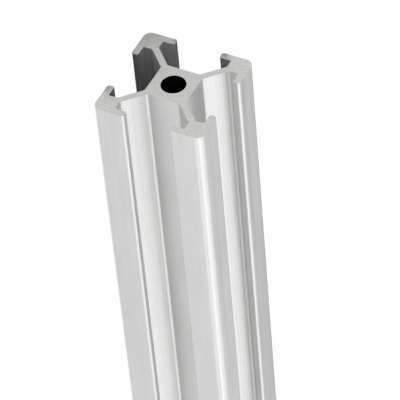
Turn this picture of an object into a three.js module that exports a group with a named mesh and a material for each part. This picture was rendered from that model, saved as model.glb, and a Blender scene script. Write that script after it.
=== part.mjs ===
// A length of square T-slot aluminium extrusion: one solid bar, pressed through a die and sawn
// square at both ends. A slot with an undercut runs down each of the four faces, a square core
// holds a round bore, and a thin diagonal web ties the core to each corner.
//
// Millimetres, +Z up. The origin is the centre of the lower end, on which the bar stands, and X
// and Y are square to the slotted faces.
import * as THREE from "three";

// Driving dimensions of the bar and its section.
const SIDE = 20; // across two opposite outer faces
const LENGTH = 200; // between the two sawn ends
const SLOT_MOUTH = 8.3; // between the two lips of a slot
const LIP = 1.24; // thickness of a lip
const CORNER = 3.68; // from an outer face to the slot wall beside it, behind the lip
const CORE = 7.6; // across two opposite faces of the core
const WEB = 1.16; // thickness of a diagonal web
const BORE = 4.3; // diameter of the bore, in which an M5 thread can be cut

// Radii of the section's edges and inside corners.
const OUTER_R = 1.35; // the four long outer corners
const LIP_OUTER_R = 0.5; // the lip's edge at the outer face
const LIP_INNER_R = 0.25; // the lip's edge inside the slot
const POCKET_R = 0.25; // the inside corner behind a lip
const WEB_TOP_R = 0.65; // where a web meets its corner
const WEB_FOOT_R = 0.7; // where a web meets the core

// How finely the arcs are cut into facets.
const ARC_STEP = THREE.MathUtils.degToRad(11.25);
const MOST_OF_EDGE = 0.48; // the share of an edge that the rounding of one end may use

// One corner of an outline, with the radius that it is rounded to.
const corner = (x, y, radius) => ({ at: new THREE.Vector2(x, y), radius });

// The same corner, turned about the bar's axis.
const turned = ({ at, radius }, angle) => ({
  at: at.clone().rotateAround(new THREE.Vector2(), angle),
  radius,
});

// The section's corners from the middle of the slot that faces +X to the middle of the one that
// faces +Y, anticlockwise.
function quarterOfOutline() {
  const face = SIDE / 2;
  const underLip = face - LIP;
  const mouth = SLOT_MOUTH / 2;
  const wall = face - CORNER;
  const core = CORE / 2;
  const acrossWeb = WEB / Math.SQRT2; // from a web's middle to its side, measured along X or Y
  const half = [
    corner(core, core - acrossWeb, WEB_FOOT_R),
    corner(wall + acrossWeb, wall, WEB_TOP_R),
    corner(underLip, wall, POCKET_R),
    corner(underLip, mouth, LIP_INNER_R),
    corner(face, mouth, LIP_OUTER_R),
  ];
  const mirrored = half.map(({ at, radius }) => corner(at.y, at.x, radius));
  return [...half, corner(face, face, OUTER_R), ...mirrored.reverse()];
}

// The arc that rounds a corner between two neighbours, as points. Its radius is cut down where an
// edge is too short for it.
function arcAt(before, { at, radius }, after) {
  const back = before.at.clone().sub(at);
  const ahead = after.at.clone().sub(at);
  const room = MOST_OF_EDGE * Math.min(back.length(), ahead.length());
  back.normalize();
  ahead.normalize();
  const halfAngle = Math.acos(back.dot(ahead)) / 2;
  const trim = Math.min(radius / Math.tan(halfAngle), room);
  const fitted = trim * Math.tan(halfAngle);
  const centre = back
    .clone()
    .add(ahead)
    .setLength(fitted / Math.sin(halfAngle))
    .add(at);
  const start = back.setLength(trim).add(at).sub(centre);
  const end = ahead.setLength(trim).add(at).sub(centre);
  const clockwise = start.cross(end) < 0;
  const arc = new THREE.ArcCurve(
    centre.x,
    centre.y,
    fitted,
    start.angle(),
    end.angle(),
    clockwise,
  );
  const sweep = Math.PI - 2 * halfAngle;
  return arc.getPoints(Math.ceil(sweep / ARC_STEP - 1e-6));
}

// The bar's section: the rounded outline, with the bore as a hole in it.
function section() {
  const quarter = quarterOfOutline();
  const corners = [0, 1, 2, 3].flatMap((turn) =>
    quarter.map((each) => turned(each, (turn * Math.PI) / 2)),
  );
  const outline = corners.flatMap((each, i) =>
    arcAt(corners.at(i - 1), each, corners[(i + 1) % corners.length]),
  );
  const shape = new THREE.Shape(outline);
  const bore = new THREE.ArcCurve(0, 0, BORE / 2, 0, 2 * Math.PI, true);
  const facets = Math.round((2 * Math.PI) / ARC_STEP);
  shape.holes.push(new THREE.Path(bore.getPoints(facets).slice(1)));
  return shape;
}

// The bar, as one named mesh.
function extrusionProfile() {
  const geometry = new THREE.ExtrudeGeometry(section(), {
    depth: LENGTH,
    bevelEnabled: false,
  });
  const satinAluminium = new THREE.MeshStandardMaterial({
    name: "satin_aluminium",
    color: 0xcfcfcd,
    roughness: 0.4,
    metalness: 1,
  });
  const mesh = new THREE.Mesh(geometry, satinAluminium);
  mesh.name = "extrusion_profile";
  return mesh;
}

const part = new THREE.Group();
part.add(extrusionProfile());

export default part;
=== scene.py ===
"""The looks of a short bar of T-slot aluminium extrusion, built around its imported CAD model."""

import math

import bmesh
import bpy
from mathutils import Matrix, Vector


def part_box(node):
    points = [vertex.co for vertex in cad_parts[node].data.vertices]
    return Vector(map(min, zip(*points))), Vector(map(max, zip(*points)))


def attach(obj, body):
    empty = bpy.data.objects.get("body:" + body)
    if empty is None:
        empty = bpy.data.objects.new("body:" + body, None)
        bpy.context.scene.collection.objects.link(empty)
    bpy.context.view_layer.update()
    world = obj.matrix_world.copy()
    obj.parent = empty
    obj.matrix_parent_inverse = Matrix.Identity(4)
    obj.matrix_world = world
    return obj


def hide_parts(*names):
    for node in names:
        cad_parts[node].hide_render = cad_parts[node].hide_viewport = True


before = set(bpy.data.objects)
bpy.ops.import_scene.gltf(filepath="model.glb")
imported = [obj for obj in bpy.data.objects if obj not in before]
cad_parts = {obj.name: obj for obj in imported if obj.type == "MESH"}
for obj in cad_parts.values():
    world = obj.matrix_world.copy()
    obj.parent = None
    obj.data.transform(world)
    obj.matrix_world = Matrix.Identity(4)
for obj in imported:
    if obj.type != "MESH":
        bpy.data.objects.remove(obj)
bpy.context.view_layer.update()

NODE = "extrusion_profile"
MM = 0.001
MICROMETRE = 0.000001

# The section, as in the CAD model, in millimetres.
SLOT_MOUTH = 8.3  # between the two lips of a slot
LIP = 1.24  # thickness of a lip
CORNER = 3.68  # from an outer face to the slot wall beside it, behind the lip
CORE = 7.6  # across two opposite faces of the core
WEB = 1.16  # thickness of a diagonal web
BORE = 4.3  # diameter of the bore
OUTER_R = 1.35  # the four long outer corners
LIP_OUTER_R = 0.5  # a lip's edge at the outer face
LIP_INNER_R = 0.25  # a lip's edge inside the slot
POCKET_R = 0.25  # the inside corner behind a lip
WEB_TOP_R = 0.65  # where a web meets its corner
WEB_FOOT_R = 0.7  # where a web meets the core

# The finer surface, in millimetres.
ARC_STEP = math.radians(7.5)
LENGTHWISE_STEP = 10.0
SAWN_EDGE_R = 0.035  # the rounding that deburring leaves round a sawn end
SAWN_EDGE_STEPS = 3

# The finishes' places in the bar's list of materials.
SKIN, SAWN_END, BORE_WALL = range(3)

# The finishes' colours.
SATIN = (0.83, 0.83, 0.825)
SAWN = (0.62, 0.618, 0.602)
# The bore's colour is darker than the faces' metal: painted shade inside the bore.
BORE_PAINTED_SHADE = (0.35, 0.35, 0.35)

# The lumps of noise that the marks in the metal are made of, as their sizes along X, Y and Z, in
# millimetres.
DIE_LINES = (0.3, 0.3, 120)
CLOUDS = (3, 3, 12)
ETCHING = (0.25, 0.25, 0.4)
BURRS = (0.28, 0.28, 0.28)
NOISE_ROUGHNESS = 0.6  # how strong each finer layer of the noise is beside the one above it
NOISE_MEAN = 0.5  # the value that noise strays about

# The depth of the die lines on the sides that face along Y, as a share of that on the others.
SHALLOW_LINES = 0.18

# The saw that cut the ends: its hub's place beside the bar, in metres, and the pitch of its
# scratches, in millimetres.
SAW_HUB = (0.085, -0.13, 0)
SAW_PITCH = 0.28

# The photograph's view, in metres.
CAMERA_AT = (0.17241, -0.29222, 0.51700)
CAMERA_LOOKS_AT = (0.00220, 0.00127, 0.17244)
CAMERA_ROLL = math.radians(5.449)
LENS = 253.95  # in millimetres, on Blender's 36 mm sensor
CLIP_START = 0.01

# The studio, in metres and degrees. A level of 1 is white.
WORLD_LEVEL = 1.0
FLOOR_SIDE = 12.0
FLOOR_COLOUR = (0.9, 0.9, 0.9)
FLOOR_LIFT = 0.12  # what the camera and the metal see the floor brighter by

# The cards that lie on the floor round the bar: name, level, the azimuths that a card spans, and
# its inner and outer radius.
CARDS = (
    ("left_card", 0.68, (-180, -100), (0.03, 0.4)),
    ("front_left_card", 1.24, (-100, -78), (0.03, 0.4)),
    ("near_card", 0.57, (-78, -58), (0.03, 0.4)),
    ("front_card", 1.42, (-58, -33), (0.03, 0.34)),
    ("right_near_card", 0.66, (15, 33), (0.03, 0.4)),
    ("right_card", 0.9, (33, 56), (0.03, 0.4)),
    ("right_far_card", 0.1, (56, 80), (0.03, 0.4)),
)
CARD_HEIGHT = 0.0005
CARD_STEP = math.radians(5)

# The dark flags that stand just outside the two far slots and behind the far corner: name, level
# at the top, the two ends on the floor plan, and the lowest and highest point.
FLAGS = (
    ("left_flag", 0.0, (-0.0105, -0.005), (-0.0105, 0.005), (0.0, 0.202)),
    ("right_flag", 0.07, (-0.005, 0.0105), (0.005, 0.0105), (0.0, 0.202)),
    ("back_flag", 0.33, (-0.017, 0.007), (-0.007, 0.017), (0.2, 0.207)),
)
FADE = (0.0, 0.19)  # the heights between which a flag fades from the level of its foot to its own
FOOT_LEVEL = 0.9

# The soft lamp in front of the bar.
LAMP_AT = (0.35, -0.35, 0.13)
LAMP_AIM = (0, 0, 0.13)
LAMP_SIZE = (0.18, 0.26)
LAMP_LEVEL = 0.4


def round_corner(before, corner, after):
    """The points and outward normals of the arc that rounds one corner of an outline."""
    at, radius = corner
    back = (before[0] - at).normalized()
    ahead = (after[0] - at).normalized()
    half = math.acos(back.dot(ahead)) / 2
    centre = at + (back + ahead).normalized() * radius / math.sin(half)
    start = at + back * radius / math.tan(half) - centre
    turn = math.pi - 2 * half
    outward = 1 if ahead.cross(back) > 0 else -1  # -1 where the corner points into the material
    steps = round(turn / ARC_STEP)
    arc = []
    for i in range(steps + 1):
        spoke = Matrix.Rotation(turn * i / steps * outward, 2) @ start
        arc.append((centre + spoke, spoke.normalized() * outward))
    return arc


def outline(side):
    """The section's outline, anticlockwise, as points with outward normals, in millimetres."""
    face = side / 2
    wall = face - CORNER
    core = CORE / 2
    across_web = WEB / math.sqrt(2)  # from a web's middle to its side, along X or Y
    half = [
        (Vector((core, core - across_web)), WEB_FOOT_R),
        (Vector((wall + across_web, wall)), WEB_TOP_R),
        (Vector((face - LIP, wall)), POCKET_R),
        (Vector((face - LIP, SLOT_MOUTH / 2)), LIP_INNER_R),
        (Vector((face, SLOT_MOUTH / 2)), LIP_OUTER_R),
    ]
    mirrored = [(at.yx, radius) for at, radius in reversed(half)]
    quarter = half + [(Vector((face, face)), OUTER_R)] + mirrored
    corners = []
    for turn in range(4):
        spin = Matrix.Rotation(turn * math.pi / 2, 2)
        corners += [(spin @ at, radius) for at, radius in quarter]
    points = []
    for i, corner in enumerate(corners):
        points += round_corner(corners[i - 1], corner, corners[(i + 1) % len(corners)])
    return points


def bore():
    """The bore's outline, clockwise, with normals that point into the bore, in millimetres."""
    steps = round(2 * math.pi / ARC_STEP)
    circle = []
    for i in range(steps):
        spoke = Matrix.Rotation(-2 * math.pi * i / steps, 2) @ Vector((1, 0))
        circle.append((spoke * BORE / 2, -spoke))
    return circle


def levels(length):
    """The rings up the bar: height, how far the ring draws in, and how its normal leans."""
    rounding = []
    for i in range(SAWN_EDGE_STEPS + 1):
        angle = math.pi / 2 * i / SAWN_EDGE_STEPS
        drawn_in = SAWN_EDGE_R * (1 - math.sin(angle))
        rounding.append((SAWN_EDGE_R * (1 - math.cos(angle)), drawn_in, math.pi / 2 - angle))
    steps = round(length / LENGTHWISE_STEP)
    between = [(length * i / steps, 0, 0) for i in range(1, steps)]
    lower = [(z, inset, -lean) for z, inset, lean in rounding]
    upper = [(length - z, inset, lean) for z, inset, lean in reversed(rounding)]
    return lower + between + upper


def raise_walls(mesh, loop, rings, foot, finish, normal_at):
    """Builds the walls over a loop of the section. Returns their lowest and highest row."""
    rows = []
    for z, inset, lean in rings:
        row = []
        for point, normal in loop:
            flat = point - normal * inset
            vertex = mesh.verts.new((flat.x * MM, flat.y * MM, (foot + z) * MM))
            out = normal * math.cos(lean)
            normal_at[vertex] = Vector((out.x, out.y, math.sin(lean)))
            row.append(vertex)
        rows.append(row)
    last = len(rows) - 2
    for band, (lower, upper) in enumerate(zip(rows, rows[1:])):
        rounded = min(band, last - band) < SAWN_EDGE_STEPS
        for i, vertex in enumerate(lower):
            j = (i + 1) % len(lower)
            wall = mesh.faces.new((vertex, lower[j], upper[j], upper[i]))
            wall.material_index = SAWN_END if rounded else finish
    return rows[0], rows[-1]


def close_end(mesh, rows, up):
    """Fills a sawn end between its outline and its bore. Up is 1 if it faces up, or else -1."""
    edges = []
    for row in rows:
        edges += [mesh.edges.get((row[i - 1], row[i])) for i in range(len(row))]
    filled = bmesh.ops.triangle_fill(mesh, edges=edges, use_beauty=True, normal=(0, 0, up))
    for face in filled["geom"]:
        if isinstance(face, bmesh.types.BMFace):
            face.material_index = SAWN_END
            if face.normal.z * up < 0:
                face.normal_flip()


def set_normals(data, normals):
    """Gives the walls the normals of their true arcs, and the flat ends upright ones."""
    split = []
    for polygon in data.polygons:
        on_end = len(polygon.vertices) == 3  # only the flat ends are made of triangles
        upright = Vector((0, 0, 1 if polygon.normal.z > 0 else -1))
        split += [upright if on_end else normals[corner] for corner in polygon.vertices]
    data.normals_split_custom_set(split)


def extruded_bar():
    """The bar with finely cut arcs, eased end edges and exact normals, as a mesh object."""
    low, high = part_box(NODE)
    side = (high.x - low.x) / MM
    rings = levels((high.z - low.z) / MM)
    mesh = bmesh.new()
    normal_at = {}
    skin = raise_walls(mesh, outline(side), rings, low.z / MM, SKIN, normal_at)
    wall = raise_walls(mesh, bore(), rings, low.z / MM, BORE_WALL, normal_at)
    lowest, highest = zip(skin, wall)
    close_end(mesh, lowest, up=-1)
    close_end(mesh, highest, up=1)
    for face in mesh.faces:
        face.smooth = True
    mesh.verts.index_update()
    normals = [normal_at[vertex] for vertex in mesh.verts]
    data = bpy.data.meshes.new("extruded_bar")
    mesh.to_mesh(data)
    mesh.free()
    set_normals(data, normals)
    bar = bpy.data.objects.new("extruded_bar", data)
    bpy.context.scene.collection.objects.link(bar)
    return bar


def add(tree, kind, inputs=(), **settings):
    """Adds a node. Each input is a value, or another node's output to link it to."""
    made = tree.nodes.new(kind)
    for key, value in settings.items():
        setattr(made, key, value)
    for key, value in dict(inputs).items():
        if isinstance(value, bpy.types.NodeSocket):
            tree.links.new(value, made.inputs[key])
        else:
            made.inputs[key].default_value = value
    return made


def grain(tree, place, size, detail):
    """Noise whose lumps have a size along X, Y and Z, with detail finer layers over them."""
    per_metre = [1 / (MM * along) for along in size]
    spread = add(tree, "ShaderNodeVectorMath", {0: place, 1: per_metre}, operation="MULTIPLY")
    lumps = {"Vector": spread.outputs[0], "Scale": 1}
    lumps |= {"Detail": detail, "Roughness": NOISE_ROUGHNESS}
    return add(tree, "ShaderNodeTexNoise", lumps).outputs["Fac"]


def die_lines(tree, place):
    """Scratches that the die draws down the bar, deepest on the sides that face along X."""
    lines = grain(tree, place, DIE_LINES, detail=3)
    normal = add(tree, "ShaderNodeTexCoord").outputs["Normal"]
    along_x = add(tree, "ShaderNodeSeparateXYZ", {0: normal}).outputs["X"]
    along_x = add(tree, "ShaderNodeMath", {0: along_x}, operation="ABSOLUTE").outputs[0]
    depth = {"Value": along_x, "To Min": SHALLOW_LINES, "To Max": 1}
    depth = add(tree, "ShaderNodeMapRange", depth).outputs["Result"]
    blend = {"Factor": depth, "A": NOISE_MEAN, "B": lines}
    return add(tree, "ShaderNodeMix", blend).outputs["Result"]


def clouds(tree, place):
    """The faint unevenness of the anodised film."""
    return grain(tree, place, CLOUDS, detail=4)


def etching(tree, place):
    """The fine matt grain that etching leaves under the film."""
    return grain(tree, place, ETCHING, detail=2)


def saw_marks(tree, place):
    """Scratches in arcs about the hub of the saw that cut the end."""
    flat = add(tree, "ShaderNodeVectorMath", {0: place, 1: (1, 1, 0)}, operation="MULTIPLY")
    hub = {0: flat.outputs[0], 1: SAW_HUB}
    radius = add(tree, "ShaderNodeVectorMath", hub, operation="DISTANCE").outputs["Value"]
    count = {0: radius, 1: 1 / (MM * SAW_PITCH)}
    count = add(tree, "ShaderNodeMath", count, operation="MULTIPLY").outputs[0]
    rings = {"W": count, "Scale": 1, "Detail": 3}
    return add(tree, "ShaderNodeTexNoise", rings, noise_dimensions="1D").outputs["Fac"]


def burrs(tree, place):
    """The crumbly grain that a saw leaves in soft metal."""
    return grain(tree, place, BURRS, detail=3)


def stray(tree, level, noises, weights):
    """A level that strays with each noise by its weight, and keeps its mean."""
    value = level - sum(weights) * NOISE_MEAN
    for noise, weight in zip(noises, weights):
        terms = {0: noise, 1: weight, 2: value}
        value = add(tree, "ShaderNodeMath", terms, operation="MULTIPLY_ADD").outputs[0]
    return value


def metal(name, colour, roughness, marks, shades, glosses, heights):
    """Bare metal, with marks that shade it, roughen it and stand up from it.

    Shades and glosses say how far each mark moves the colour, as a share of it, and the
    roughness. Heights are in micrometres.
    """
    material = bpy.data.materials.new(name)
    material.use_nodes = True
    tree = material.node_tree
    place = add(tree, "ShaderNodeTexCoord").outputs["Object"]
    noises = [mark(tree, place) for mark in marks]
    tone = {0: colour, "Scale": stray(tree, 1, noises, shades)}
    tone = add(tree, "ShaderNodeVectorMath", tone, operation="SCALE").outputs["Vector"]
    relief = {"Height": stray(tree, 0, noises, heights), "Distance": MICROMETRE, "Strength": 1}
    relief = add(tree, "ShaderNodeBump", relief).outputs["Normal"]
    shader = tree.nodes["Principled BSDF"]
    shader.inputs["Metallic"].default_value = 1
    tree.links.new(tone, shader.inputs["Base Color"])
    tree.links.new(stray(tree, roughness, noises, glosses), shader.inputs["Roughness"])
    tree.links.new(relief, shader.inputs["Normal"])
    return material


def satin_aluminium():
    """The long faces, as they leave the die and the anodising bath."""
    return metal(
        "satin_aluminium",
        SATIN,
        roughness=0.4,
        marks=(die_lines, clouds, etching),
        shades=(0.45, 0.1, 0.14),
        glosses=(0.12, 0.12, 0.1),
        heights=(4, 4, 0.5),
    )


def sawn_aluminium():
    """The bare ends, as they leave the saw."""
    return metal(
        "sawn_aluminium",
        SAWN,
        roughness=0.6,
        marks=(saw_marks, burrs),
        shades=(0.4, 0.55),
        glosses=(0.2, 0.1),
        heights=(4, 5),
    )


def bore_aluminium_painted_shade():
    """The wall of the bore, which is smoother than the faces; its darker colour is painted shade
    inside the bore.
    """
    return metal(
        "bore_aluminium_painted_shade",
        BORE_PAINTED_SHADE,
        roughness=0.2,
        marks=(die_lines, clouds, etching),
        shades=(0.2, 0.1, 0.1),
        glosses=(0.1, 0.1, 0.05),
        heights=(2, 4, 0.5),
    )


def make_camera():
    """The long lens of the photograph, which is rolled while the bar stands upright."""
    camera = bpy.data.objects.new("camera", bpy.data.cameras.new("camera"))
    bpy.context.scene.collection.objects.link(camera)
    camera.data.lens = LENS
    camera.data.clip_start = CLIP_START
    gaze = Vector(CAMERA_LOOKS_AT) - Vector(CAMERA_AT)
    roll = Matrix.Rotation(-CAMERA_ROLL, 3, "Z").to_quaternion()
    camera.rotation_mode = "QUATERNION"
    camera.rotation_quaternion = gaze.to_track_quat("-Z", "Y") @ roll
    camera.location = CAMERA_AT
    bpy.context.scene.camera = camera


def stage_piece(name, points, faces):
    """A piece of the studio, with a material that is still empty."""
    mesh = bpy.data.meshes.new(name)
    mesh.from_pydata(points, [], faces)
    piece = bpy.data.objects.new(name, mesh)
    bpy.context.scene.collection.objects.link(piece)
    material = bpy.data.materials.new(name)
    material.use_nodes = True
    nodes = material.node_tree.nodes
    nodes.remove(nodes["Principled BSDF"])
    mesh.materials.append(material)
    return piece


def make_floor():
    """A pale floor that keeps the bar's shadow, and is white to the camera and in the metal."""
    half = FLOOR_SIDE / 2
    corners = [(-half, -half, 0), (half, -half, 0), (half, half, 0), (-half, half, 0)]
    floor = stage_piece("floor", corners, [(0, 1, 2, 3)])
    tree = floor.active_material.node_tree
    rays = add(tree, "ShaderNodeLightPath").outputs
    seen = rays["Is Camera Ray"]
    for other in ("Is Glossy Ray", "Is Transmission Ray"):
        either = {0: seen, 1: rays[other]}
        seen = add(tree, "ShaderNodeMath", either, operation="MAXIMUM").outputs[0]
    lift = add(tree, "ShaderNodeMath", {0: seen, 1: FLOOR_LIFT}, operation="MULTIPLY")
    glow = add(tree, "ShaderNodeEmission", {"Strength": lift.outputs[0]})
    diffuse = add(tree, "ShaderNodeBsdfDiffuse", {"Color": (*FLOOR_COLOUR, 1)})
    both = add(tree, "ShaderNodeAddShader", {0: diffuse.outputs[0], 1: glow.outputs[0]})
    tree.links.new(both.outputs[0], tree.nodes["Material Output"].inputs["Surface"])


def make_card(name, points, faces):
    """A studio card that only the metal reflects. Returns its material's nodes."""
    card = stage_piece(name, points, faces)
    card.visible_camera = False
    card.visible_diffuse = False
    card.visible_transmission = False
    card.visible_shadow = False
    return card.active_material.node_tree


def light_up(tree, level):
    """Makes a card shine at a level, which is a number or a node's output."""
    glow = add(tree, "ShaderNodeEmission", {"Strength": level}).outputs[0]
    tree.links.new(glow, tree.nodes["Material Output"].inputs["Surface"])


def lay_card(name, level, azimuths, radii):
    """A card that lies on the floor, over a sector of a ring round the bar."""
    start, end = (math.radians(azimuth) for azimuth in azimuths)
    steps = round((end - start) / CARD_STEP)
    points, faces = [], []
    for i in range(steps + 1):
        angle = start + (end - start) * i / steps
        for radius in radii:
            points.append((radius * math.cos(angle), radius * math.sin(angle), CARD_HEIGHT))
        if i:
            faces.append((2 * i - 2, 2 * i - 1, 2 * i + 1, 2 * i))
    light_up(make_card(name, points, faces), level)


def stand_flag(name, level, start, end, heights):
    """A flag that stands on a line of the floor plan, and is lighter towards the floor."""
    low, high = heights
    points = [(*start, low), (*end, low), (*end, high), (*start, high)]
    tree = make_card(name, points, [(0, 1, 2, 3)])
    place = add(tree, "ShaderNodeTexCoord").outputs["Object"]
    height = add(tree, "ShaderNodeSeparateXYZ", {0: place}).outputs["Z"]
    fade = {"Value": height, "From Min": FADE[0], "From Max": FADE[1]}
    fade |= {"To Min": FOOT_LEVEL, "To Max": level}
    fade = add(tree, "ShaderNodeMapRange", fade, interpolation_type="SMOOTHSTEP")
    light_up(tree, fade.outputs["Result"])


def hang_lamp():
    """The lamp, whose face is as bright as its level."""
    width, height = LAMP_SIZE
    lamp = bpy.data.lights.new("front_lamp", "AREA")
    lamp.shape = "RECTANGLE"
    lamp.size = width
    lamp.size_y = height
    lamp.energy = LAMP_LEVEL * math.pi * width * height
    holder = bpy.data.objects.new("front_lamp", lamp)
    bpy.context.scene.collection.objects.link(holder)
    holder.location = LAMP_AT
    gaze = Vector(LAMP_AIM) - Vector(LAMP_AT)
    holder.rotation_euler = gaze.to_track_quat("-Z", "Y").to_euler()
    holder.visible_camera = False


def make_world():
    """A white world all round."""
    world = bpy.data.worlds.new("studio")
    bpy.context.scene.world = world
    world.use_nodes = True
    background = world.node_tree.nodes["Background"]
    background.inputs["Color"].default_value = (1, 1, 1, 1)
    background.inputs["Strength"].default_value = WORLD_LEVEL


bar = extruded_bar()
for finish in (satin_aluminium(), sawn_aluminium(), bore_aluminium_painted_shade()):  # in their places' order
    bar.data.materials.append(finish)
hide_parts(NODE)
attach(bar, "root")

make_camera()
make_floor()
for card in CARDS:
    lay_card(*card)
for flag in FLAGS:
    stand_flag(*flag)
hang_lamp()
make_world()
bpy.context.scene.view_settings.view_transform = "Standard"
